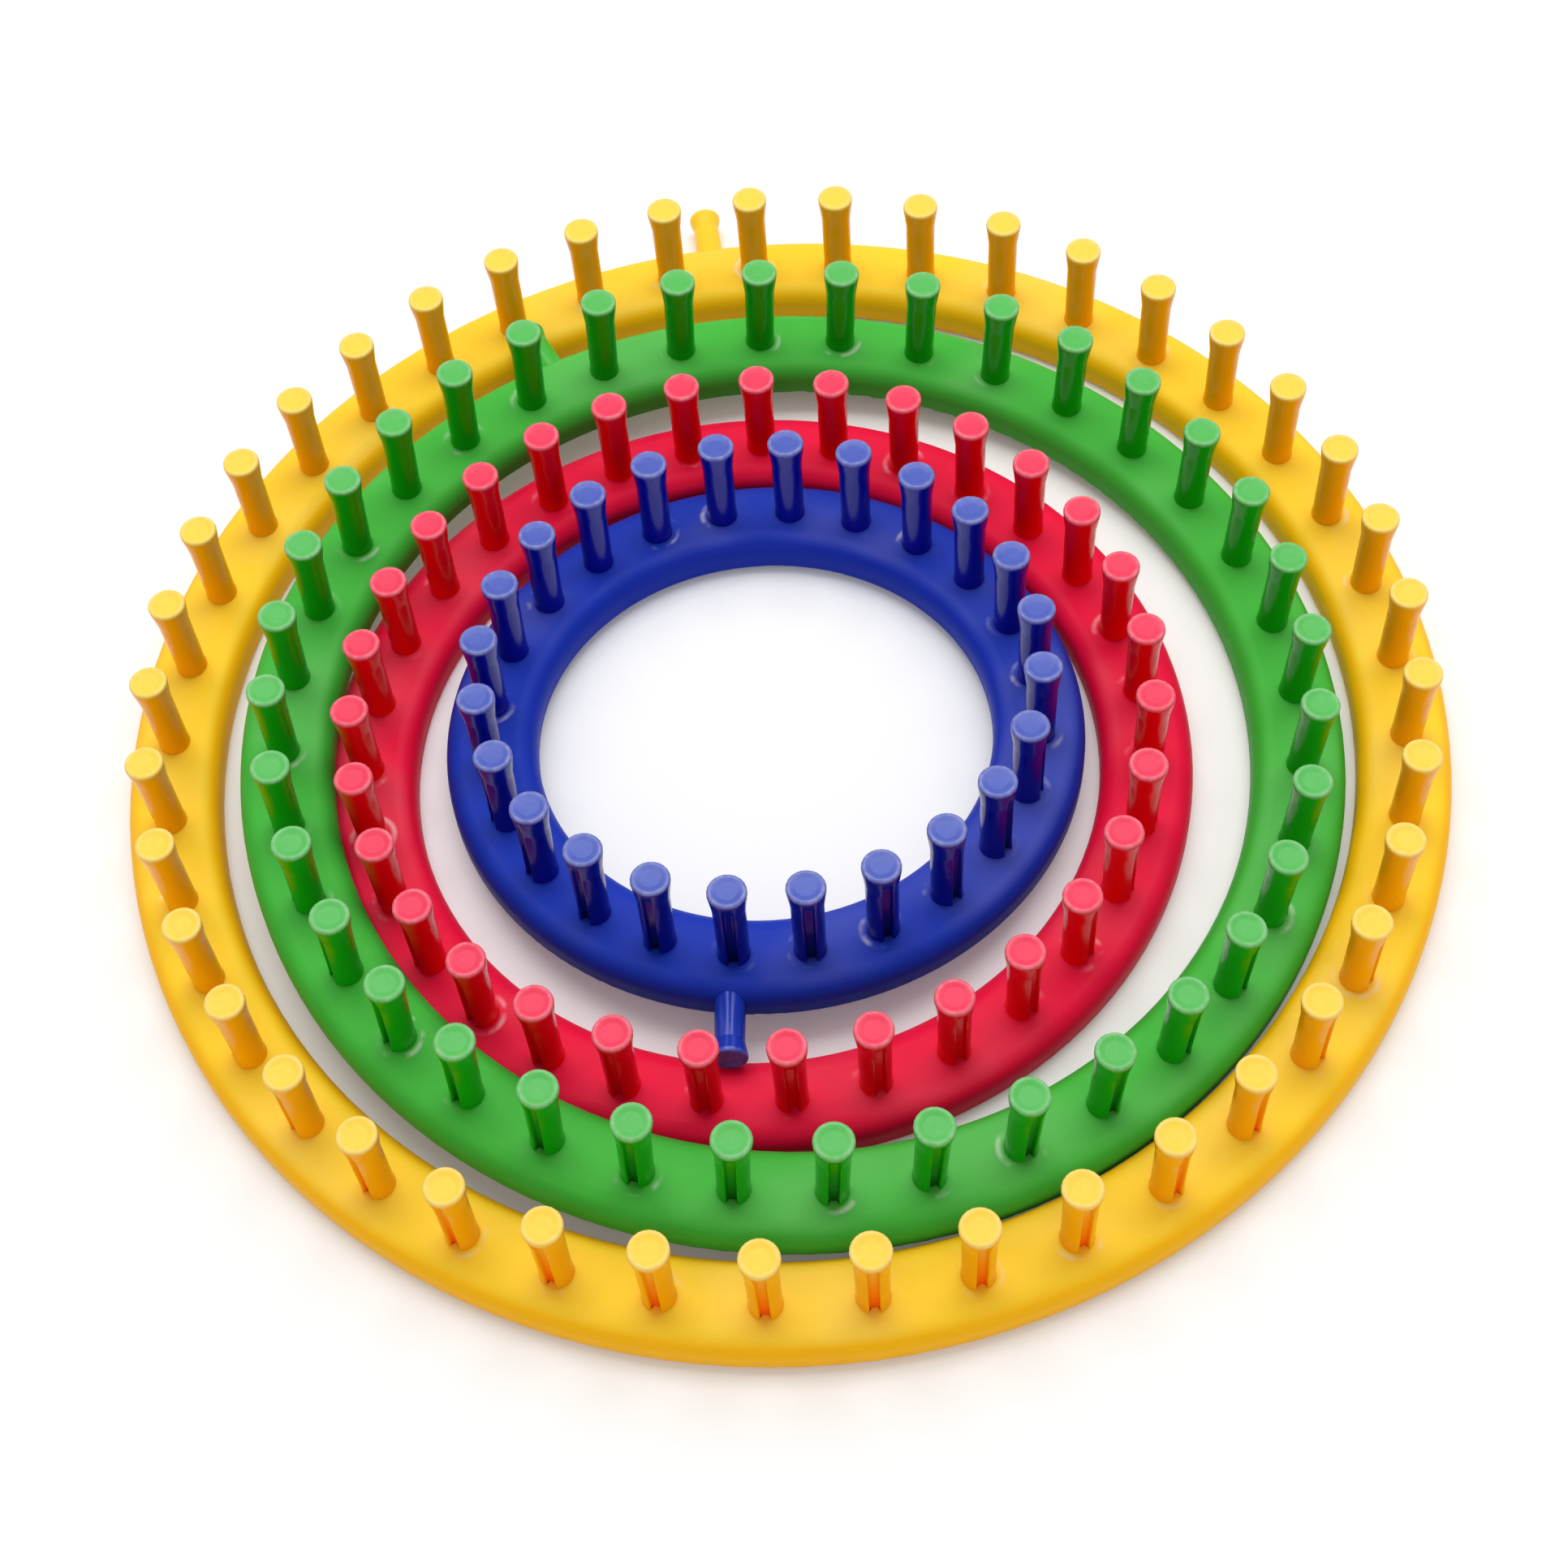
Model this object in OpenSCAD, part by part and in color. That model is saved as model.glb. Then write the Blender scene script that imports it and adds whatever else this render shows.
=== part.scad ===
// Set of four round knitting looms, lying one inside the other.
// Each loom is a moulded ring with pegs pressed into its top and one anchor peg pressed into its side.
// Millimetres, +Z up. The origin is the centre of the yellow ring on the table.

/* [Looms] */
// Outer diameter of the yellow ring, from which the smaller looms follow
yellow_d = 290; // [250:1:330]
// Gap between a ring and the next smaller one when both share a centre
nest_gap = 5; // [4.6:0.1:5.6]
// Pegs on the yellow ring
yellow_peg_count = 41; // [40:1:42]
// Pegs on the green ring
green_peg_count = 36; // [35:1:36]
// Pegs on the red ring
red_peg_count = 31; // [30:1:31]
// Pegs on the blue ring
blue_peg_count = 24; // [23:1:24]

/* [Ring] */
// Width of a ring from its inner to its outer wall
ring_w = 20; // [18.5:0.5:22]
// Height of a ring
ring_h = 8.4; // [7.8:0.2:9.2]
// Radius of the rounded shoulders along the top
shoulder_r = 4.5; // [3.5:0.25:5]
// Radius of the edges along the bottom
bottom_r = 1.2; // [0.6:0.1:1.6]
// Thickness of the side walls
wall_t = 2.4; // [2.2:0.1:2.8]
// Thickness of the top
roof_t = 2.4; // [2.2:0.1:2.8]

/* [Peg] */
// Height of a peg above the ring
peg_h = 23.4; // [21:0.2:26]
// Diameter of the head
head_d = 8.2; // [7.8:0.1:8.8]
// Radius of the rounded rim of the head
rim_r = 0.8; // [0.6:0.1:1]
// Depth of the shallow dish in the head
dish = 0.3; // [0.1:0.1:0.5]
// Height of the cone under the head
cone_h = 4.8; // [3:0.2:6]
// Diameter at the neck
neck_d = 6.9; // [6.6:0.1:7.2]
// Diameter at the bottom of the shaft
shaft_d = 6.7; // [6.3:0.1:6.8]
// Diameter of the foot that stands on the ring
foot_d = 7; // [6.9:0.1:7.6]
// Thickness of the foot's edge
foot_t = 0.4; // [0.3:0.1:0.8]
// Height of the slope from the foot's edge to the shaft
foot_slope = 2; // [1:0.1:2.5]
// Width of the groove down the outer side
groove_w = 2; // [1.6:0.1:2.2]
// Depth of the groove
groove_depth = 1.2; // [0.8:0.1:1.4]
// Length between the groove and the head's rim
groove_stop = 4; // [3:0.1:6]
// Diameter of the tenon pressed into the ring
tenon_d = 4.4; // [4:0.1:4.6]
// Length of the tenon
tenon_l = 5.6; // [5:0.1:6]
// Diameter of the boss around a tenon, under the ring's top
boss_d = 8; // [7:0.1:8]

/* [Anchor peg] */
// Length of an anchor peg outside the ring
anchor_l = 12.5; // [11:0.1:13.5]
// Diameter at its root
anchor_d = 6.8; // [6.2:0.1:6.8]
// Diameter under its head
anchor_neck_d = 6.2; // [5.8:0.1:6.4]
// Diameter of its head
anchor_head_d = 7.6; // [7.2:0.1:7.8]
// Height of the cone under its head
anchor_cone_h = 2.4; // [1.6:0.2:4]
// Height of its axis above the ring's underside
anchor_z = 4; // [3.9:0.1:4.1]
// Depth to which it is pressed into the ring
anchor_seat = 5; // [4.5:0.1:5.4]
// Turn of the blue anchor peg at its root, away from straight out
blue_anchor_lean = 6; // [0:0.5:8]

/* [Layout] */
// Turn of the yellow loom
yellow_turn = 6.05; // [0:0.05:8.7]
// Turn of the green loom
green_turn = 4.8; // [4:0.05:5.5]
// Turn of the red loom
red_turn = 9; // [8:0.05:10]
// Turn of the blue loom
blue_turn = 10.45; // [9.5:0.05:11.5]
// Sideways place of the green loom in the yellow one, in gaps
green_side = 0.4; // [0.3:0.05:0.5]
// Front to back place of the green loom in the yellow one, in gaps
green_back = -0.84; // [-0.84:0.02:-0.7]
// Sideways place of the red loom in the green one, in gaps
red_side = -1.56; // [-1.6:0.02:-1.4]
// Front to back place of the red loom in the green one, in gaps
red_back = -0.6; // [-0.62:0.02:-0.5]
// Sideways place of the blue loom in the red one, in gaps
blue_side = 0.36; // [0.2:0.02:0.4]
// Front to back place of the blue loom in the red one, in gaps
blue_back = 0.82; // [0.76:0.02:0.82]
// Height left under an anchor peg that lies on the next ring
rest_gap = 0.12; // [0.1:0.01:0.2]

/* [Hidden] */
$fn = 64;
// Side that the tilt raises, as an angle from +X
left = 180;
front = 270;
// Numbers of pegs from the loom's first peg to its anchor peg
yellow_slot = 10.5;
green_slot = 11.5;
red_slot = 15.5;
blue_slot = 17;
// Pegs that share one node
pegs_per_node = 3;
// Chamfer on the pressed end of a peg
tip_chamfer = 0.5;
// Overlap that keeps joined shapes in one piece, and overrun of the cutters
overlap = 0.2;
// Overrun of an anchor peg's hole, enough for one that leaves the wall aslant
anchor_overrun = 1;
// Size of the block behind an anchor peg, along the wall
anchor_block_w = 9.6;
// Thickness of material past the end of an anchor peg
anchor_block_end = 1;
// Share of the rim's radius at which the cone under a head runs into the rim
flare_share = 0.9;

// Each smaller ring leaves the same gap all round
loom_step = 2 * (ring_w + nest_gap);
green_d = yellow_d - loom_step;
red_d = green_d - loom_step;
blue_d = red_d - loom_step;
green_at = nest_gap * [green_side, green_back];
red_at = green_at + nest_gap * [red_side, red_back];
blue_at = red_at + nest_gap * [blue_side, blue_back];

// Tilt of a loom whose anchor peg lies on top of the next ring, with the far edge of its ring on the table
rest_rise = ring_h + anchor_head_d / 2 + rest_gap - anchor_z;
function rest_reach(d, angle) = d / 2 + (d / 2 + anchor_l) * cos(angle);
function rest_tilt(d, angle) = asin(rest_rise / rest_reach(d, angle));
green_tilt = rest_tilt(green_d, green_turn + green_slot * 360 / green_peg_count - left);
blue_tilt = rest_tilt(blue_d, blue_turn + blue_slot * 360 / blue_peg_count - front);

roof_z = ring_h - roof_t;
head_z = peg_h - 2 * rim_r;
groove_top = head_z - groove_stop;
groove_floor = shaft_d / 2 - groove_depth;
boss_z = ring_h - tenon_l - tip_chamfer;
anchor_block_l = anchor_seat + anchor_block_end;

// Each loom: name, outer diameter, pegs, turn, anchor slot, centre, tilt, raised side, anchor lean, colour
YELLOW = ["yellow", yellow_d, yellow_peg_count, yellow_turn, yellow_slot, [0, 0], 0, left, 0, "#fdc93c"];
GREEN = ["green", green_d, green_peg_count, green_turn, green_slot, green_at, green_tilt, left, 0, "#4bb446"];
RED = ["red", red_d, red_peg_count, red_turn, red_slot, red_at, 0, left, 0, "#e12846"];
BLUE = [
    "blue", blue_d, blue_peg_count, blue_turn, blue_slot, blue_at, blue_tilt, front, blue_anchor_lean, "#3241aa"
];
LOOMS = [YELLOW, GREEN, RED, BLUE];

function name_of(loom) = loom[0];
function outer_r(loom) = loom[1] / 2;
function middle_r(loom) = outer_r(loom) - ring_w / 2;
function peg_count(loom) = loom[2];
function peg_angle(loom, i) = loom[3] + i * 360 / peg_count(loom);
function anchor_slot(loom) = loom[4];
function centre(loom) = loom[5];
function tilt(loom) = loom[6];
function raised_side(loom) = loom[7];
function anchor_lean(loom) = loom[8];
function colour(loom) = loom[9];
function group_count(loom) = ceil(peg_count(loom) / pegs_per_node);
function ring_node(loom) = str(name_of(loom), "_ring");
function anchor_node(loom) = str(name_of(loom), "_anchor_peg");
function pegs_node(loom, group) = str(name_of(loom), "_pegs_", group);

// Puts a loom at its place, tilted about the point of its underside that stays on the table
module place(loom) {
    lift = outer_r(loom) * sin(tilt(loom));
    translate([centre(loom).x, centre(loom).y, lift])
        rotate([0, 0, raised_side(loom)])
            rotate([0, -tilt(loom), 0])
                rotate([0, 0, -raised_side(loom)])
                    children();
}

// Puts a peg's shape on top of the ring, with its +X side facing outwards
module at_peg(loom, i) {
    rotate([0, 0, peg_angle(loom, i)])
        translate([middle_r(loom), 0, ring_h])
            children();
}

// Puts a shape at the anchor peg's root, with +Z pointing out of the ring
module at_anchor(loom) {
    rotate([0, 0, peg_angle(loom, anchor_slot(loom))])
        translate([outer_r(loom), 0, anchor_z])
            rotate([0, 90, anchor_lean(loom)])
                children();
}

// Cross-section of a ring: rounded shoulders, hollow underneath
module ring_section() {
    flat_w = ring_w - 2 * shoulder_r;
    foot_w = ring_w - 2 * bottom_r;
    difference() {
        union() {
            translate([-ring_w / 2, bottom_r])
                square([ring_w, ring_h - shoulder_r - bottom_r]);
            translate([-flat_w / 2, bottom_r])
                square([flat_w, ring_h - bottom_r]);
            translate([-foot_w / 2, 0])
                square([foot_w, ring_h - shoulder_r]);
            for (side = [-1, 1]) {
                translate([side * flat_w / 2, ring_h - shoulder_r])
                    intersection() {
                        circle(shoulder_r);
                        translate([-shoulder_r, 0])
                            square([2 * shoulder_r, shoulder_r]);
                    }
                translate([side * foot_w / 2, bottom_r])
                    circle(bottom_r);
            }
        }
        translate([wall_t - ring_w / 2, -overlap])
            square([ring_w - 2 * wall_t, roof_z + overlap]);
    }
}

// Half outline of a peg: tenon, foot, shaft, cone and dished head with a rounded rim
module peg_profile() {
    rim_x = head_d / 2 - rim_r;
    flare = flare_share * rim_r * cos(45);
    polygon([
        [0, -tenon_l],
        [tenon_d / 2 - tip_chamfer, -tenon_l],
        [tenon_d / 2, tip_chamfer - tenon_l],
        [tenon_d / 2, 0],
        [foot_d / 2, 0],
        [foot_d / 2, foot_t],
        [shaft_d / 2, foot_t + foot_slope],
        [neck_d / 2, head_z - cone_h],
        [rim_x + flare, head_z + rim_r - flare],
        [rim_x, peg_h - dish],
        [0, peg_h - dish]
    ]);
    translate([rim_x, head_z + rim_r])
        circle(rim_r);
}

// Half outline of an anchor peg, along its axis
module anchor_profile() {
    rim_x = anchor_head_d / 2 - rim_r;
    head_start = anchor_l - 2 * rim_r;
    flare = flare_share * rim_r * cos(45);
    polygon([
        [0, -anchor_seat],
        [anchor_d / 2 - tip_chamfer, -anchor_seat],
        [anchor_d / 2, tip_chamfer - anchor_seat],
        [anchor_d / 2, 0],
        [anchor_neck_d / 2, head_start - anchor_cone_h],
        [rim_x + flare, head_start + rim_r - flare],
        [rim_x, anchor_l - dish],
        [0, anchor_l - dish]
    ]);
    translate([rim_x, head_start + rim_r])
        circle(rim_r);
}

// Round-topped cutter for the groove down a peg's outer side
module groove() {
    reach = head_d / 2 + overlap - groove_floor;
    translate([groove_floor, -groove_w / 2, 0])
        cube([reach, groove_w, groove_top]);
    translate([groove_floor, 0, groove_top])
        rotate([0, 90, 0])
            cylinder(d = groove_w, h = reach);
}

module peg() {
    difference() {
        rotate_extrude()
            peg_profile();
        groove();
    }
}

// Moulded ring with a boss and a hole for each peg, and a block and a hole for the anchor peg
module ring(loom) {
    color(colour(loom))
        place(loom)
            difference() {
                union() {
                    rotate_extrude()
                        translate([middle_r(loom), 0])
                            ring_section();
                    for (i = [0 : peg_count(loom) - 1])
                        at_peg(loom, i)
                            translate([0, 0, boss_z - ring_h])
                                cylinder(d = boss_d, h = roof_z - boss_z + overlap);
                    rotate([0, 0, peg_angle(loom, anchor_slot(loom))])
                        translate([outer_r(loom) - anchor_block_l, -anchor_block_w / 2, 0])
                            cube([anchor_block_l - wall_t + overlap, anchor_block_w, roof_z + overlap]);
                }
                for (i = [0 : peg_count(loom) - 1])
                    at_peg(loom, i)
                        translate([0, 0, -tenon_l - tip_chamfer - overlap])
                            cylinder(d = tenon_d, h = tenon_l + tip_chamfer + 2 * overlap);
                at_anchor(loom)
                    translate([0, 0, -anchor_seat])
                        cylinder(d = anchor_d, h = anchor_seat + anchor_overrun);
            }
}

// Pegs of one stretch of a ring, a separate piece each
module pegs(loom, group) {
    first = (group - 1) * pegs_per_node;
    last = min(first + pegs_per_node, peg_count(loom)) - 1;
    color(colour(loom))
        place(loom)
            for (i = [first : last])
                at_peg(loom, i)
                    peg();
}

// Short peg in the side of a ring, which holds the yarn's end
module anchor_peg(loom) {
    color(colour(loom))
        place(loom)
            at_anchor(loom)
                rotate_extrude()
                    anchor_profile();
}

for (loom = LOOMS) {
    ring(loom);
    anchor_peg(loom);
    for (group = [1 : group_count(loom)])
        pegs(loom, group);
}
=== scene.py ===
# %% [markdown]
# # Four round knitting looms
# A round knitting loom is a flat plastic ring with a row of grooved pegs. The four looms of this set
# lie one inside the other on a white table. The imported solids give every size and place, and this
# lesson gives them their looks: soft moulded edges, four dyed plastics, light and a camera.

import bpy
import numpy as np
from mathutils import Matrix, Vector


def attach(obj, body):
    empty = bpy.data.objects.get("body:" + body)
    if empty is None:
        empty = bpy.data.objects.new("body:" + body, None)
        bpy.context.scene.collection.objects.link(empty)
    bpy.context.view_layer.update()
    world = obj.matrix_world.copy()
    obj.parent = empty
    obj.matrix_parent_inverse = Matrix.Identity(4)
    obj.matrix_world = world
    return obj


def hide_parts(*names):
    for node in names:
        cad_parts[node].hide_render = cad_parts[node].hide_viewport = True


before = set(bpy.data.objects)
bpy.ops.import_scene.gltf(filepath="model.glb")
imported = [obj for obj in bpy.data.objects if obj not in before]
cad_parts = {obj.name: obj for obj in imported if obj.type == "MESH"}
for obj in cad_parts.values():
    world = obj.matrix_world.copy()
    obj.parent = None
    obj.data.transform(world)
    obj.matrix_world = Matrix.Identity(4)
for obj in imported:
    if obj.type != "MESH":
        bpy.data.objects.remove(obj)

scene = bpy.context.scene
scene.view_settings.view_transform = "Standard"
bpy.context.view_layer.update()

# %% [markdown]
# ## Sizes and places
# The looms share one ring section and one peg, and each smaller ring leaves the same gap all round.
# Green and blue lie aslant, because their anchor pegs rest on the next ring. The places could be read
# off the solids, but a few values in millimetres that repeat theirs are easier to follow, and every
# new surface still lands on the solid it stands for.

# %% Sizes of a ring and a peg
MM = 0.001
RING_W = 20.0
RING_H = 8.4
PEG_H = 23.4
HEAD_R = 4.1
NECK_R = 3.45
SHAFT_R = 3.35
FOOT_R = 3.5
TENON_R = 2.2
TENON_L = 5.6
ANCHOR_L = 12.5
ANCHOR_R = 3.4
ANCHOR_NECK_R = 3.1
ANCHOR_HEAD_R = 3.8
ANCHOR_Z = 4.0
ANCHOR_SEAT = 5.0
PEGS_PER_NODE = 3

# %% Places of the four looms
YELLOW_R = 145.0
NEST_GAP = 5.0
REST_GAP = 0.12
REST_RISE = RING_H + ANCHOR_HEAD_R + REST_GAP - ANCHOR_Z


def rest_tilt(outer, angle):
    """Slope at which an anchor peg at this angle from the raised side lies on the next ring."""
    reach = outer + (outer + ANCHOR_L) * np.cos(np.radians(angle))
    return float(np.arcsin(REST_RISE / reach))


def loom(order, count, turn, slot, centre, raised=None, lean=0.0):
    """One loom's values; the outer radius falls by a ring width and a gap from loom to loom.
    A raised loom is tilted about its lowest point, so its middle rises by outer times sin(tilt).
    An anchor peg may lean sideways by a few degrees from straight out."""
    outer = YELLOW_R - order * (RING_W + NEST_GAP)
    anchor = turn + slot * 360.0 / count
    tilt = 0.0 if raised is None else rest_tilt(outer, anchor - raised)
    side = 0.0 if raised is None else np.radians(raised)
    to_side, back = Matrix.Rotation(side, 4, "Z"), Matrix.Rotation(-side, 4, "Z")
    lay = to_side @ Matrix.Rotation(-tilt, 4, "Y") @ back
    place = Matrix.Translation((*centre, outer * np.sin(tilt))) @ lay
    ring = dict(outer=outer, middle=outer - RING_W / 2, place=place)
    return dict(ring, count=count, turn=turn, anchor=anchor, lean=lean)


green_at = NEST_GAP * np.array([0.4, -0.84])
red_at = green_at + NEST_GAP * np.array([-1.56, -0.6])
blue_at = red_at + NEST_GAP * np.array([0.36, 0.82])
LOOMS = {
    "yellow": loom(0, 41, 6.05, 10.5, (0.0, 0.0)),
    "green": loom(1, 36, 4.8, 11.5, green_at, raised=180.0),
    "red": loom(2, 31, 9.0, 15.5, red_at),
    "blue": loom(3, 24, 10.45, 17, blue_at, raised=270.0, lean=6.0),
}
print("pegs on the looms:", {name: values["count"] for name, values in LOOMS.items()})

# %% [markdown]
# ## Surfaces from numpy
# A moulded peg is a turned shape, so its surface is a function of two parameters: the way along its
# outline and the way round its axis. The outline is drawn with plain corners first. A Bevel modifier
# could soften them afterwards, with one width for all. Here each corner is replaced by an arc of its
# own radius, because a mould never leaves a knife edge and the roundings are what catches the light.

# %% Rounded outlines
ARC_STEPS = 4


def rounded(bottom, corners, top):
    """An outline from a bottom point to a top point, with an arc in every corner between them.
    A corner is its radius, its height and the radius of its arc. Each arc is the rational blend of its
    two tangent points and the corner, weighted by the sine of half the corner's angle, which is an
    exact circle."""
    corners = np.asarray(corners, float)
    points = np.concatenate([[bottom], corners[:, :2], [top]])
    inner, before, after = points[1:-1], points[:-2], points[2:]
    back = (before - inner) / np.linalg.norm(before - inner, axis=1, keepdims=True)
    ahead = (after - inner) / np.linalg.norm(after - inner, axis=1, keepdims=True)
    half = np.arccos(np.clip((back * ahead).sum(1), -1, 1)) / 2
    reach = (corners[:, 2] / np.tan(half))[:, None]
    start, end = inner + back * reach, inner + ahead * reach
    s = np.linspace(0, 1, ARC_STEPS)[None, :, None]
    weight = np.sin(half)[:, None, None]
    near, middle, far = (1 - s) ** 2, 2 * weight * s * (1 - s), s ** 2
    arcs = near * start[:, None] + middle * inner[:, None] + far * end[:, None]
    arcs = arcs / (near + middle + far)
    return np.concatenate([points[:1], arcs.reshape(-1, 2), points[-1:]])


# %% Turned surfaces
def turned(outline, angles):
    """Points (along, around, xyz) of an outline of radius and height turned about the z axis."""
    radius, height = outline[:, :1], outline[:, 1:]
    return np.stack([radius * np.cos(angles), radius * np.sin(angles), height + 0 * angles], axis=-1)


def turned_faces(along, around):
    """Faces of a turned grid whose first and last rows are single points on the axis."""
    row = np.arange(along - 3)[:, None] * around
    left = np.arange(around)
    right = (left + 1) % around
    quads = np.stack([row + left, row + right, row + around + right, row + around + left], axis=-1)
    last = (along - 3) * around
    pole = (along - 2) * around
    low = np.stack([right, left, np.full(around, pole)], axis=-1)
    high = np.stack([last + left, last + right, np.full(around, pole + 1)], axis=-1)
    return quads.reshape(-1, 4), np.concatenate([low, high])


def with_poles(grid):
    """A turned grid as one list of points: the rows between the poles, then the two poles."""
    flat = grid[..., 1:-1, :, :].reshape(*grid.shape[:-3], -1, grid.shape[-1])
    return np.concatenate([flat, grid[..., :1, 0, :], grid[..., -1:, 0, :]], axis=-2)


# %% One mesh from many equal shapes
def make_piece(name, body, points, faces, finish, replaced, **values):
    """A smooth mesh of equal shapes, points (shapes, vertices, xyz) in millimetres, riding on a body.
    The faces of shape k are those of one shape with k times its number of points added."""
    shapes, size = points.shape[:2]
    step = (np.arange(shapes) * size)[:, None, None]
    lists = []
    for kind in faces:
        lists += (kind[None] + step).reshape(-1, kind.shape[1]).tolist()
    mesh = bpy.data.meshes.new(name)
    mesh.from_pydata((points.reshape(-1, 3) * MM).tolist(), [], lists)
    for label, value in values.items():
        spread = np.broadcast_to(value, (shapes, size)).astype(np.float32)
        mesh.attributes.new(label, "FLOAT", "POINT").data.foreach_set("value", spread.ravel())
    mesh.shade_smooth()
    mesh.materials.append(finish)
    piece = bpy.data.objects.new(name, mesh)
    scene.collection.objects.link(piece)
    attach(piece, f"{body}_loom")
    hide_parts(replaced)
    return piece


# %% [markdown]
# ## The standing peg
# A peg has a tenon in the ring, a foot, a slightly tapered shaft, a flared neck and a round head with
# a raised rim. A groove runs down its outer side, so that a hook can slide under the yarn. A Boolean
# could cut it, and would leave ragged faces along its edges. Here it is carved by pulling the surface
# in towards a flat floor wherever it lies inside the slot's outline, and the columns of faces stand
# close together where its walls fall.

# %% Outline of a peg
TIP = 0.4
FOOT_T = 0.4
FOOT_TOP = 2.4
RIM_T = 1.6
HEAD_LOW = PEG_H - RIM_T
FLARE_END = 0.5
RIM_IN_R = 3.3
CONE_H = 4.8
DISH = 0.3
DISH_R = RIM_IN_R - 1.1
# Each corner is its radius, its height and the radius of its arc
peg_corners = [
    (TENON_R - TIP, -TENON_L, 0.2),
    (TENON_R, TIP - TENON_L, 0.2),
    (TENON_R, 0.0, 0.05),
    (FOOT_R, 0.0, 0.2),
    (FOOT_R, FOOT_T, 0.3),
    (SHAFT_R, FOOT_TOP, 2.0),
    (NECK_R, HEAD_LOW - CONE_H, 12.0),
    (HEAD_R, HEAD_LOW + FLARE_END, 2.0),
    (HEAD_R, PEG_H, 0.55),
    (RIM_IN_R, PEG_H, 1.2),
    (DISH_R, PEG_H - DISH, 2.0),
]
peg_outline = rounded((0, -TENON_L), peg_corners, (0, PEG_H - DISH))

# %% Columns of faces round a peg
PLAIN_COLUMNS = 20
groove_side = np.array([6.0, 12.0, 16.0, 18.5, 21.0, 26.0])
other_side = 360.0 - groove_side[::-1]
rest_of_turn = np.linspace(groove_side[-1], other_side[0], PLAIN_COLUMNS)[1:-1]
peg_angles = np.radians(np.concatenate([[0.0], groove_side, rest_of_turn, other_side]))
print("outline points:", len(peg_outline), "columns round a peg:", len(peg_angles))

# %% Groove of a peg
GROOVE_HALF = 1.0
GROOVE_STOP = 4.0
GROOVE_DEPTH = 1.2
GROOVE_EDGE = 0.14
GROOVE_TOP = HEAD_LOW - GROOVE_STOP
GROOVE_FLOOR = SHAFT_R - GROOVE_DEPTH


def smooth_step(low, high, value):
    """Rises from 0 at low to 1 at high with level ends: three t squared less two t cubed."""
    t = np.clip((value - low) / (high - low), 0, 1)
    return t * t * (3 - 2 * t)


def grooved(grid):
    """Pulls the outer side in to a flat floor inside a slot with a round top, above the ring.
    A point's distance from the slot's middle line is its distance to the side, as on the shaft, and
    above the slot's top also its height over that top."""
    x, y, z = np.moveaxis(grid, -1, 0)
    aside = y * SHAFT_R / np.maximum(np.hypot(x, y), SHAFT_R)
    across = np.hypot(aside, np.maximum(z - GROOVE_TOP, 0))
    inside = 1 - smooth_step(GROOVE_HALF - GROOVE_EDGE, GROOVE_HALF + GROOVE_EDGE, across)
    cut = inside * (x > GROOVE_FLOOR) * (z >= 0)
    return np.stack([x + (GROOVE_FLOOR - x) * cut, y, z], axis=-1)


plain_grid = turned(peg_outline, peg_angles)
turned_points = with_poles(plain_grid)
peg_points = with_poles(grooved(plain_grid))
peg_faces = turned_faces(*plain_grid.shape[:2])

# %% [markdown]
# ## Wear, painted sheen and painted shade on a peg
# The heads come out of the mould with a satin face, and the face is painted paler than the shaft as a
# painted sheen of the light above; their rims are rubbed a little by yarn and hooks. Deep in a groove,
# light goes to and fro between dyed walls and comes out in a deeper colour, most of all at the foot,
# which is painted into the colour as painted shade. Masks could be painted by hand, but the mesh can
# carry all three as numbers on its points, so that the finish follows the shape.

# %% Painted sheen on the face, rubbed rim and painted shade in the groove
FACE_LOW, FACE_HIGH = PEG_H - 0.75, PEG_H - 0.45
RUB_IN, RUB_OUT = RIM_IN_R - 0.3, RIM_IN_R + 0.2
RUB_LOW, RUB_HIGH = PEG_H - 0.9, PEG_H - 0.2
CARVED_LITTLE, CARVED_DEEP = 0.1, 0.9
HOLLOW_LOW, HOLLOW_HIGH = 0.5, 8.5
HOLLOW_FADE = 0.95
peg_r = np.hypot(peg_points[:, 0], peg_points[:, 1])
peg_z = peg_points[:, 2]
# Mask of the head's face, which is painted paler as a painted sheen of the light above, and made
# rougher.
peg_face = smooth_step(FACE_LOW, FACE_HIGH, peg_z)
peg_rub = smooth_step(RUB_IN, RUB_OUT, peg_r) * smooth_step(RUB_LOW, RUB_HIGH, peg_z)
carved = np.hypot(turned_points[:, 0], turned_points[:, 1]) - peg_r
fading = 1 - HOLLOW_FADE * smooth_step(HOLLOW_LOW, HOLLOW_HIGH, peg_z)
# Painted shade deep in the groove, strongest at the foot.
peg_hollow = smooth_step(CARVED_LITTLE, CARVED_DEEP, carved) * fading
print("points on a peg:", len(peg_points), "faces:", sum(len(kind) for kind in peg_faces))

# %% [markdown]
# ## Shader maths in Python
# Blender's material nodes are easier to read as formulas. The first class wraps one socket, and every
# operator on it adds a Math node. The second class holds a node tree and adds any other node, and the
# third is the tree of one material.


# %% Fields and finishes
RAYS_THAT_SEE = ("Camera", "Glossy", "Transmission")


class Field:
    """A number that varies over a surface; an operator adds the Math node that works it out."""

    def __init__(self, nodes, socket):
        self.nodes, self.socket = nodes, socket

    def maths(self, operation, *values):
        """A Math node of any operation on these fields or plain numbers."""
        return self.nodes.node("ShaderNodeMath", {"operation": operation}, dict(enumerate(values)))

    def __add__(self, other):
        return self.maths("ADD", self, other)

    def __sub__(self, other):
        return self.maths("SUBTRACT", self, other)

    def __rsub__(self, other):
        return self.maths("SUBTRACT", other, self)

    def __mul__(self, other):
        return self.maths("MULTIPLY", self, other)

    def __truediv__(self, other):
        return self.maths("DIVIDE", self, other)

    __radd__ = __add__
    __rmul__ = __mul__


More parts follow.
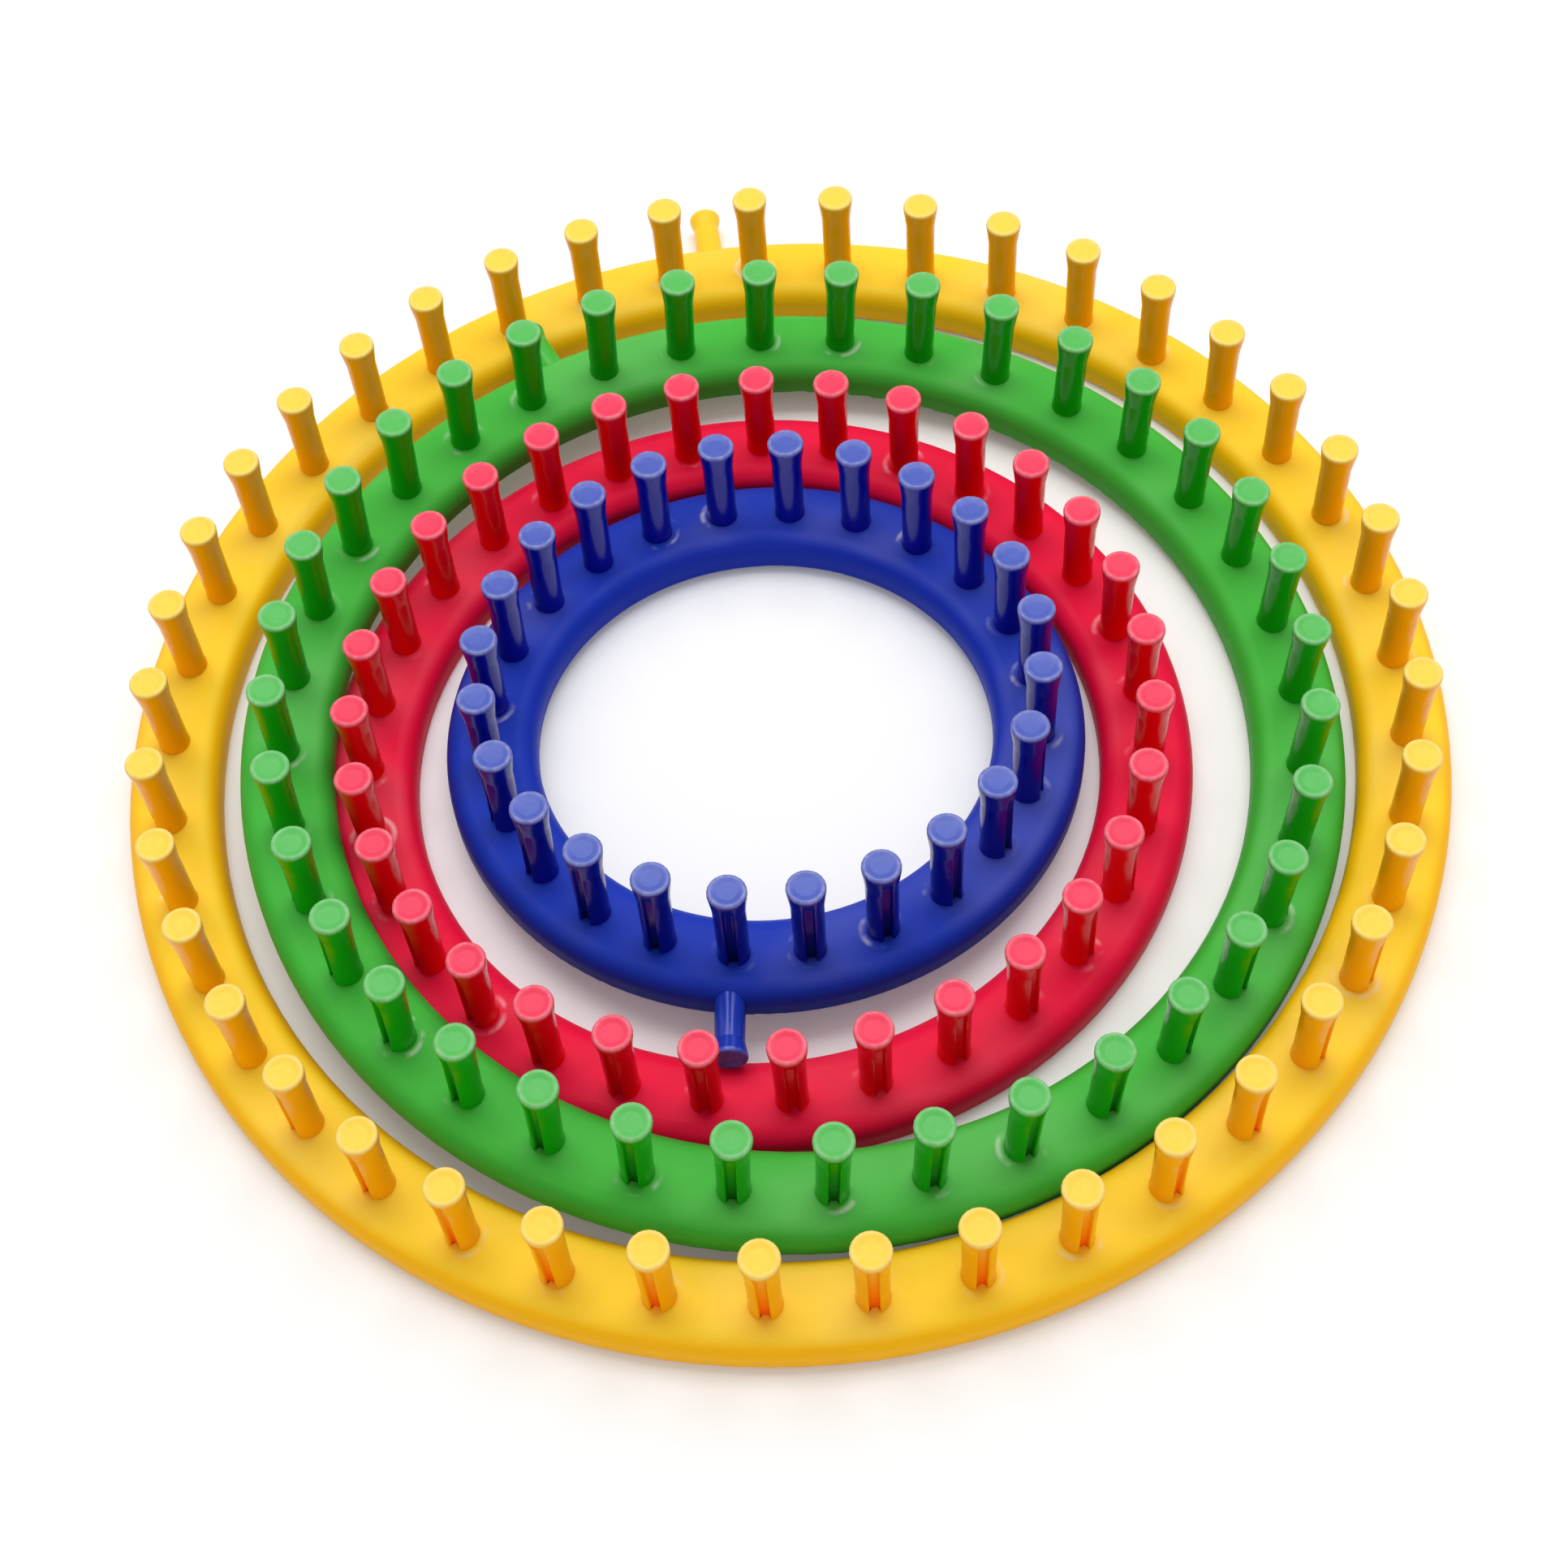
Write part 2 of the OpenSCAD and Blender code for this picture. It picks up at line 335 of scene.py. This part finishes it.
class Nodes:
    """A node tree, with a method that adds any node."""

    def __init__(self, tree):
        self.tree = tree

    def link(self, value, socket):
        """Links a field to a socket, or sets the socket to a plain value."""
        if isinstance(value, Field):
            self.tree.links.new(value.socket, socket)
        else:
            socket.default_value = value

    def node(self, kind, settings, sockets, output=0):
        """Adds a node: its settings first, then the values or links of its sockets."""
        new = self.tree.nodes.new(kind)
        for key, value in settings.items():
            setattr(new, key, value)
        for key, value in sockets.items():
            self.link(value, new.inputs[key])
        return Field(self, new.outputs[output])

    def step(self, value, low, high):
        """Smooth rise from 0 at low to 1 at high."""
        settings = {"interpolation_type": "SMOOTHSTEP"}
        return self.node("ShaderNodeMapRange", settings, {0: value, 1: low, 2: high, 3: 0.0, 4: 1.0})

    def mix(self, share, first, second):
        """Colour between two others."""
        return self.node("ShaderNodeMix", {"data_type": "RGBA"}, {0: share, 6: first, 7: second}, 2)

    def noise(self, where, scale, detail=2.0):
        """Cloudy pattern of numbers around one half."""
        return self.node("ShaderNodeTexNoise", {}, {"Vector": where, "Scale": scale, "Detail": detail})

    def bump(self, height):
        """Normals of a surface raised by a height in metres."""
        return self.node("ShaderNodeBump", {}, {"Strength": 1.0, "Distance": 1.0, "Height": height})

    def number(self, label):
        """A number that the mesh carries on its points."""
        return self.node("ShaderNodeAttribute", {"attribute_name": label}, {}, "Fac")

    def seen(self):
        """1 where the camera, a reflection or a clear piece looks straight at the surface, else 0."""
        path = self.node("ShaderNodeLightPath", {}, {}).socket.node
        camera, glossy, clear = (Field(self, path.outputs[f"Is {kind} Ray"]) for kind in RAYS_THAT_SEE)
        return camera + glossy + clear


class Finish(Nodes):
    """The nodes of one material, with its principled shader."""

    def __init__(self, name):
        self.material = bpy.data.materials.new(name)
        self.material.use_nodes = True
        super().__init__(self.material.node_tree)
        self.shader = self.tree.nodes["Principled BSDF"]

    def set(self, **sockets):
        """Links or sets the shader's sockets by name, with _ for a blank."""
        for key, value in sockets.items():
            self.link(value, self.shader.inputs[key.replace("_", " ")])


# %% [markdown]
# ## Four plastics
# All four looms are dyed in the mass and moulded. The rings are nearly matt and the pegs are glossy,
# with a faint waviness that breaks up reflections and slow changes of tone where the melt flowed. One
# flat colour would look like paint, so every plastic starts from the same function with its own tone
# and gloss. Colours are written as they look on a screen and turned into light values here.


# %% Colours
def screen(red, green, blue):
    """Light values of a screen colour, by the screen's own curve."""
    share = np.array([red, green, blue]) / 255.0
    light = np.where(share <= 0.04045, share / 12.92, ((share + 0.055) / 1.055) ** 2.4)
    return (*light.tolist(), 1.0)


def tones(ring, wall, peg, face, gloss):
    """Light values of a loom's ring, wall and pegs (painted shade) and faces (painted sheen), and peg
    gloss.
    """
    shades = dict(ring=ring, wall=wall, peg=peg, face=face)
    return dict({part: screen(*shade) for part, shade in shades.items()}, gloss=gloss)


# Columns: ring; wall in painted shade; pegs painted deeper, as shade on upright shafts; faces painted
# paler, as sheen; gloss of the pegs.
COLOURS = {
    "yellow": tones((255, 210, 50), (255, 188, 14), (255, 172, 0), (250, 214, 84), 0.1),
    "green": tones((70, 182, 64), (60, 170, 54), (8, 166, 0), (92, 184, 94), 0.16),
    "red": tones((234, 18, 64), (232, 16, 60), (248, 0, 0), (232, 66, 98), 0.14),
    "blue": tones((28, 56, 176), (20, 46, 164), (6, 8, 146), (74, 94, 182), 0.3),
}
DEEPER = 0.93
# Pale colour of rubbed rims, and of the painted highlights and painted sheen on the rings.
PALE_WEAR_AND_SHEEN = screen(232, 226, 224)
HOLLOW_BOUNCES = 2.6
RING_GLOSS = 0.08


# %% What all the plastics share
FLOW_SCALE, FLOW_LOW, FLOW_HIGH = 45.0, 0.35, 0.7
DULL_SCALE = 160.0
WAVE_SCALE, WAVE_HEIGHT = 300.0, 0.01 * MM
GRAIN_SCALE, GRAIN_SHARE = 2200.0, 0.15


def plastic(name, tone, gloss, waviness):
    """Dyed plastic of a given gloss: slow flow marks, a waviness, dull patches."""
    finish = Finish(name)
    finish.set(Specular_IOR_Level=gloss)
    where = finish.node("ShaderNodeTexCoord", {}, {}, "Object")
    flow = finish.step(finish.noise(where, FLOW_SCALE, detail=3.0), FLOW_LOW, FLOW_HIGH)
    dull = finish.noise(where, DULL_SCALE, detail=4.0)
    grain = finish.noise(where, GRAIN_SCALE) * GRAIN_SHARE
    wave = (finish.noise(where, WAVE_SCALE, detail=1.0) + grain) * (waviness * WAVE_HEIGHT)
    deep = (*(DEEPER * np.array(tone[:3])).tolist(), 1.0)
    return finish, where, finish.mix(flow, tone, deep), dull, wave, deep


# %% [markdown]
# ## Rings with marks round the pegs
# Where the pegs were pressed in, the ring's top shows a low swelling and, at many of them, a pale
# broken line, a painted highlight of the light on the swelling. The marks lie on a circle round each
# peg. A painted picture could show them, but it would blur close up. Here they are drawn by maths on
# the loom's own coordinates: the angle is folded to the nearest peg, which gives the distance from
# that peg's axis. Below its shoulders the ring is painted in a deeper tone, a painted shade for walls
# that turn away from the light above.

# %% Ring finishes
SWELL_IN, SWELL_OUT = 4.1 * MM, 5.3 * MM
SWELL_H = 0.05 * MM
MARK_R, MARK_W = 4.6 * MM, 0.9 * MM
GLINT_SHARE = 0.42
MARKED_SCALE, MARKED_LOW, MARKED_HIGH = 48.0, 0.52, 0.64
BROKEN_SCALE, BROKEN_LOW, BROKEN_HIGH = 170.0, 0.46, 0.66
HAZE_SCALE, HAZE_LOW, HAZE_HIGH = 26.0, 0.48, 0.7
HAZE_SHARE = 0.05
TOP_LOW, TOP_HIGH = (RING_H - 0.3) * MM, (RING_H - 0.1) * MM
WALL_LOW, WALL_HIGH = 6.8 * MM, 8.4 * MM
RING_ROUGH, RING_DULL, MARK_ROUGH = 0.36, 0.16, 0.15
RING_WAVINESS = 1.0


def ring_finish(name, values):
    """The plastic with a swelling and a broken pale line, a painted highlight, at every peg's foot.
    The angle in steps from peg to peg, less its whole part, gives the way along to the nearest peg."""
    tone = COLOURS[name]
    parts = plastic(f"{name}_ring_plastic", tone["ring"], RING_GLOSS, RING_WAVINESS)
    finish, where, colour, dull, wave, _ = parts
    place = values["place"]
    spot = {"Vector": where, "Location": place.translation * MM, "Rotation": place.to_euler()}
    own = finish.node("ShaderNodeMapping", {"vector_type": "TEXTURE"}, spot)
    split = finish.node("ShaderNodeSeparateXYZ", {}, {0: own})
    x, y, z = (Field(finish, split.socket.node.outputs[axis]) for axis in "XYZ")
    step = 2 * np.pi / values["count"]
    turns = x.maths("ARCTAN2", y, x) / step - (np.radians(values["turn"]) / step - 0.5)
    along = (turns.maths("FRACT", turns) - 0.5) * (step * values["middle"] * MM)
    square = x * x + y * y
    across = square.maths("SQRT", square) - values["middle"] * MM
    square = along * along + across * across
    away = square.maths("SQRT", square)
    top = finish.step(z, TOP_LOW, TOP_HIGH)
    swell = (1 - finish.step(away, SWELL_IN, SWELL_OUT)) * top
    off = away - MARK_R
    line = 1 - finish.step(off.maths("ABSOLUTE", off), 0.0, MARK_W)
    marked = finish.step(finish.noise(where, MARKED_SCALE, detail=1.0), MARKED_LOW, MARKED_HIGH)
    broken = finish.step(finish.noise(where, BROKEN_SCALE, detail=2.0), BROKEN_LOW, BROKEN_HIGH)
    # Painted highlight: a broken pale line on a circle round each peg's foot, where light catches the
    # swelling; it is rougher too.
    glint_line = line * (marked * broken) * top
    # Painted shade: below its shoulders the ring turns to the deeper wall tone, for walls turned away
    # from the light above.
    wall = 1 - finish.step(z, WALL_LOW, WALL_HIGH)
    # Painted sheen: pale patches at random over the ring.
    sheen_patches = finish.step(finish.noise(where, HAZE_SCALE, detail=2.0), HAZE_LOW, HAZE_HIGH) * HAZE_SHARE
    toned = finish.mix(wall, finish.mix(sheen_patches, colour, PALE_WEAR_AND_SHEEN), tone["wall"])
    finish.set(
        Base_Color=finish.mix(glint_line * GLINT_SHARE, toned, PALE_WEAR_AND_SHEEN),
        Roughness=RING_ROUGH + dull * RING_DULL + glint_line * MARK_ROUGH,
        Normal=finish.bump(wave + swell * SWELL_H),
    )
    return finish.material


for name, values in LOOMS.items():
    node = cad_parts[f"{name}_ring"]
    node.data.materials.clear()
    node.data.materials.append(ring_finish(name, values))
print("ring finishes:", [f"{name}_ring_plastic" for name in LOOMS])

# %% [markdown]
# ## Pegs in their plastics
# A standing peg is painted a deeper tone than its ring, a painted shade for upright shafts that the
# light above hardly reaches, and an anchor peg has the ring's own tone. A peg's face is painted paler,
# a painted sheen, and is more satin; its rim is rubbed, and every peg differs a little, as pieces from
# one mould do when they come from different shots. Each peg could have a material of its own, but one
# finish per loom that reads the numbers on the mesh does the same.


# %% Peg finishes
PEG_WAVINESS = 0.15
SHOT_SHARE = 0.5
SCUFF_SCALE, SCUFF_LOW, SCUFF_HIGH = 700.0, 0.35, 0.75
SCUFF_H = 0.005 * MM
FACE_SHARE, RUB_SHARE, SCUFF_SHARE = 0.8, 0.08, 0.12
PEG_ROUGH, PEG_DULL, FACE_ROUGH = 0.14, 0.1, 0.12


def peg_finish(name, kind, base):
    """The plastic with a face painted paler as sheen and made more satin, a rubbed rim and a small
    change of tone from peg to peg.
    The groove's tone, a painted shade, is the base tone to the power of the bounces that light makes
    in the groove."""
    parts = plastic(f"{name}_{kind}_plastic", base, COLOURS[name]["gloss"], PEG_WAVINESS)
    finish, where, colour, dull, wave, deep = parts
    face, rub, shot, hollow = (finish.number(label) for label in ("face", "rub", "shot", "hollow"))
    hollow_tone = tuple(share ** HOLLOW_BOUNCES for share in base)
    scuff = finish.step(finish.noise(where, SCUFF_SCALE, detail=3.0), SCUFF_LOW, SCUFF_HIGH)
    toned = finish.mix(shot * SHOT_SHARE, colour, deep)
    # Painted shade: the groove turns to the deeper groove tone.
    groove_shaded = finish.mix(hollow, toned, hollow_tone)
    # Painted sheen: the face turns to the paler face tone, more where the scuffs lie.
    painted_sheen_face = finish.mix(face * (FACE_SHARE + scuff * SCUFF_SHARE), groove_shaded, COLOURS[name]["face"])
    finish.set(
        Base_Color=finish.mix(rub * (RUB_SHARE + scuff * SCUFF_SHARE), painted_sheen_face, PALE_WEAR_AND_SHEEN),
        Roughness=PEG_ROUGH + dull * PEG_DULL + face * FACE_ROUGH,
        Normal=finish.bump(wave + scuff * face * SCUFF_H),
    )
    return finish.material


# The pegs' tone is their ring's colour painted deeper, a painted shade for upright shafts.
PEG_FINISHES = {name: peg_finish(name, "peg", COLOURS[name]["peg"]) for name in LOOMS}
ANCHOR_FINISHES = {name: peg_finish(name, "anchor", COLOURS[name]["ring"]) for name in LOOMS}
print("peg finishes:", len(PEG_FINISHES) + len(ANCHOR_FINISHES))

# %% [markdown]
# ## Setting the pegs
# Each peg is turned so that its groove faces outwards, give or take a few degrees, because pegs are
# pressed in by hand. A Python loop could copy the pegs one by one, but a whole loom's pegs are worked
# out faster as one array, which is then cut into the sets that the solids have.


# %% Pegs on their rings
def carried(points, place):
    """Points of a loom's own frame moved to where the loom lies: turned, then shifted."""
    matrix = np.array(place)
    return points @ matrix[:3, :3].T + matrix[:3, 3]


def spun(points, angles):
    """The same points turned about z by every angle: (angles, points, xyz)."""
    cos, sin = np.cos(angles)[:, None], np.sin(angles)[:, None]
    x, y, z = points[..., 0], points[..., 1], points[..., 2]
    return np.stack([x * cos - y * sin, x * sin + y * cos, z + 0 * cos], axis=-1)


SEED = 7
PRESS_TURN = np.radians(5.0)
chance = np.random.default_rng(SEED)
for name, values in LOOMS.items():
    angles = np.radians(values["turn"]) + 2 * np.pi * np.arange(values["count"]) / values["count"]
    twist = chance.uniform(-PRESS_TURN, PRESS_TURN, len(angles))
    shots = chance.uniform(0, 1, len(angles))
    x, y = values["middle"] * np.cos(angles), values["middle"] * np.sin(angles)
    stand = np.stack([x, y, 0 * angles + RING_H], axis=-1)
    pegs = carried(spun(peg_points, angles + twist) + stand[:, None], values["place"])
    for group, first in enumerate(range(0, len(angles), PEGS_PER_NODE), start=1):
        part = slice(first, first + PEGS_PER_NODE)
        make_piece(
            f"{name}_peg_set_{group}", name, pegs[part], peg_faces, PEG_FINISHES[name],
            f"{name}_pegs_{group}",
            face=peg_face, rub=peg_rub, hollow=peg_hollow, shot=shots[part, None],
        )
    print(name, "pegs set:", len(angles))

# %% [markdown]
# ## Anchor pegs
# The short peg in the side of each ring holds the end of the yarn. It is a plain turned peg without a
# groove, so the same two functions make it. It is pressed into the wall and points straight out, apart
# from the blue one, which leans a little.

# %% Outline and places of the anchor pegs
ANCHOR_HEAD_LOW = ANCHOR_L - RIM_T
ANCHOR_CONE_H = 2.4
ANCHOR_RIM_IN_R = 3.0
ANCHOR_DISH_R = 2.0
ANCHOR_COLUMNS = 32
ANCHOR_RUB = 0.5
ANCHOR_RUB_LOW, ANCHOR_RUB_HIGH = ANCHOR_L - 0.75, ANCHOR_L - 0.45
anchor_corners = [
    (ANCHOR_R - TIP, -ANCHOR_SEAT, 0.2),
    (ANCHOR_R, TIP - ANCHOR_SEAT, 0.2),
    (ANCHOR_NECK_R, ANCHOR_HEAD_LOW - ANCHOR_CONE_H, 2.0),
    (ANCHOR_HEAD_R, ANCHOR_HEAD_LOW + FLARE_END, 0.6),
    (ANCHOR_HEAD_R, ANCHOR_L, 0.5),
    (ANCHOR_RIM_IN_R, ANCHOR_L, 1.0),
    (ANCHOR_DISH_R, ANCHOR_L - DISH, 1.6),
]
anchor_outline = rounded((0, -ANCHOR_SEAT), anchor_corners, (0, ANCHOR_L - DISH))
anchor_grid = turned(anchor_outline, np.linspace(0, 2 * np.pi, ANCHOR_COLUMNS, endpoint=False))
anchor_points = with_poles(anchor_grid)
anchor_faces = turned_faces(*anchor_grid.shape[:2])
anchor_rub = ANCHOR_RUB * smooth_step(ANCHOR_RUB_LOW, ANCHOR_RUB_HIGH, anchor_points[:, 2])
outwards = np.stack([anchor_points[:, 2], anchor_points[:, 1], -anchor_points[:, 0]], axis=-1)
for name, values in LOOMS.items():
    root = np.array([values["outer"], 0.0, ANCHOR_Z])
    leaned = spun(outwards, np.radians([values["lean"]]))[0] + root
    points = carried(spun(leaned, np.radians([values["anchor"]])), values["place"])
    make_piece(
        f"{name}_anchor", name, points, anchor_faces, ANCHOR_FINISHES[name],
        f"{name}_anchor_peg",
        face=0.0, rub=anchor_rub, hollow=0.0, shot=0.5,
    )
print("anchor pegs:", len(LOOMS))

# %% [markdown]
# ## Table, light and camera
# The looms lie on a white table under a wide soft light. More light would make the table white, and
# the plastics too pale. So the light stays at a plain level and the table keeps its shadows, while a
# share of plain white, in what the camera and the reflections see, grows away from the looms. The
# camera stands where the photograph was taken from, which the places of the pegs' heads show.

# %% White table
TABLE_SIZE = 3.0
TABLE_WHITE = (0.94, 0.94, 0.94, 1.0)
PLAIN_WHITE = (1.0, 1.0, 1.0, 1.0)
OPEN_FROM, OPEN_TO = 155.0 * MM, 230.0 * MM
FAR_FROM, FAR_TO = 300.0 * MM, 1200.0 * MM
NEAR_SHARE, OPEN_SHARE, FAR_SHARE = 0.1, 0.2, 0.7
table = Finish("white_table")
table.set(Base_Color=TABLE_WHITE, Roughness=0.6, Specular_IOR_Level=0.2)
where = table.node("ShaderNodeTexCoord", {}, {}, "Object")
split = table.node("ShaderNodeSeparateXYZ", {}, {0: where})
x, y = (Field(table, split.socket.node.outputs[axis]) for axis in "XY")
square = x * x + y * y
away = square.maths("SQRT", square)
in_the_open = table.step(away, OPEN_FROM, OPEN_TO) * OPEN_SHARE
far_away = table.step(away, FAR_FROM, FAR_TO) * FAR_SHARE
share = table.seen() * (NEAR_SHARE + in_the_open + far_away)
paper = table.node("ShaderNodeEmission", {}, {"Color": PLAIN_WHITE, "Strength": 1.0})
lit = Field(table, table.shader.outputs[0])
shown = table.node("ShaderNodeMixShader", {}, {0: share, 1: lit, 2: paper})
table.link(shown, table.tree.nodes["Material Output"].inputs["Surface"])
edge = TABLE_SIZE / 2
corners = [(-edge, -edge, 0), (edge, -edge, 0), (edge, edge, 0), (-edge, edge, 0)]
sheet = bpy.data.meshes.new("table")
sheet.from_pydata(corners, [], [(0, 1, 2, 3)])
sheet.materials.append(table.material)
table_top = bpy.data.objects.new("table", sheet)
scene.collection.objects.link(table_top)
print("table of", TABLE_SIZE, "m")

# %% Soft light from above and a weak fill from the front
WORLD_LIGHT = 0.5


def soft_light(name, place, size, energy):
    """A rectangular lamp that faces the middle of the looms."""
    lamp = bpy.data.lights.new(name, "AREA")
    lamp.shape = "RECTANGLE"
    lamp.size, lamp.size_y = size
    lamp.energy = energy
    holder = bpy.data.objects.new(name, lamp)
    holder.location = place
    holder.rotation_euler = Vector(place).to_track_quat("Z", "Y").to_euler()
    scene.collection.objects.link(holder)


soft_light("overhead_soft_light", place=(0.0, 0.5, 1.25), size=(1.5, 0.8), energy=15.4)
soft_light("front_fill_light", place=(0.3, -1.4, 0.8), size=(1.6, 0.8), energy=2.5)
world = bpy.data.worlds.new("studio")
world.use_nodes = True
studio = Nodes(world.node_tree)
background = studio.tree.nodes["Background"].inputs
studio.link(PLAIN_WHITE, background["Color"])
studio.link(WORLD_LIGHT + studio.seen() * (1 - WORLD_LIGHT), background["Strength"])
scene.world = world
print("world light:", WORLD_LIGHT)

# %% Camera at the photograph's angle
PITCH, YAW, ROLL = np.radians([57.602, -5.252, -5.202])
AIM = np.array([-0.026, -11.828, 0.0])
DISTANCE = 561.55
SENSOR, LENS = 36.0, 58.546
forward = np.array([np.sin(YAW) * np.cos(PITCH), np.cos(YAW) * np.cos(PITCH), -np.sin(PITCH)])
level = np.array([np.cos(YAW), -np.sin(YAW), 0.0])
upright = np.cross(level, forward)
right = np.cos(ROLL) * level + np.sin(ROLL) * upright
up = -np.sin(ROLL) * level + np.cos(ROLL) * upright
stand_at = (AIM - forward * DISTANCE) * MM
camera = bpy.data.cameras.new("photograph")
camera.sensor_width = SENSOR
camera.lens = LENS
camera_object = bpy.data.objects.new("photograph", camera)
axes = np.stack([right, up, -forward, stand_at], axis=1)
camera_object.matrix_world = Matrix([*axes.tolist(), [0.0, 0.0, 0.0, 1.0]])
scene.collection.objects.link(camera_object)
scene.camera = camera_object
print("camera's lens:", LENS, "mm")
